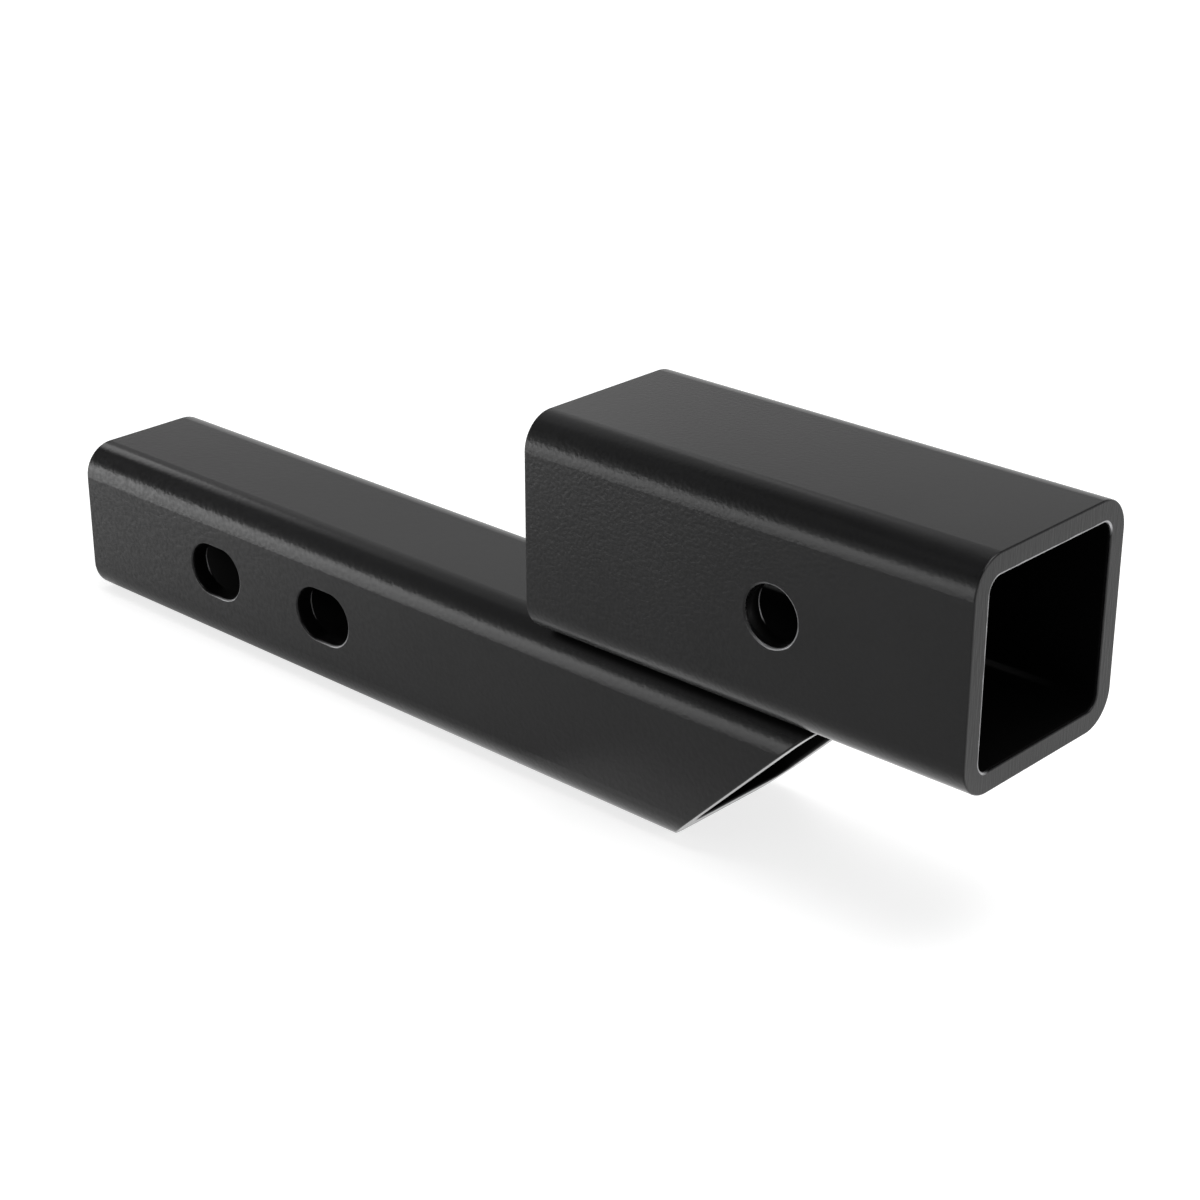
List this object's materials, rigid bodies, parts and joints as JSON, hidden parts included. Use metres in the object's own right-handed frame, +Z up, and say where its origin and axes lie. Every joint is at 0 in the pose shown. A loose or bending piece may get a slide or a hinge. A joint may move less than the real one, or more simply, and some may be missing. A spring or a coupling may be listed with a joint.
{
  "type": "hitch receiver extender",
  "caption": "Square steel shank tube with a mitred end and pin slots, and a wider square receiver tube with a round pin hole welded on top of it to raise and extend a hitch.",
  "frame": {"origin": "middle of the overall length, on the centre plane, at the level of the shank's underside", "axes": "+X along both tubes towards the receiver tube's open end, +Z up, +Y to the left when looking along +X"},
  "size_m": [0.3556, 0.0636, 0.1143],
  "materials": {
    "powder_coat": "black powder coat with a fine orange peel, semi-gloss"
  },
  "bodies": {
    "root": {"shank": "powder_coat", "receiver_tube": "powder_coat", "front_weld": "powder_coat", "rear_weld": "powder_coat"}
  },
  "joints": []
}
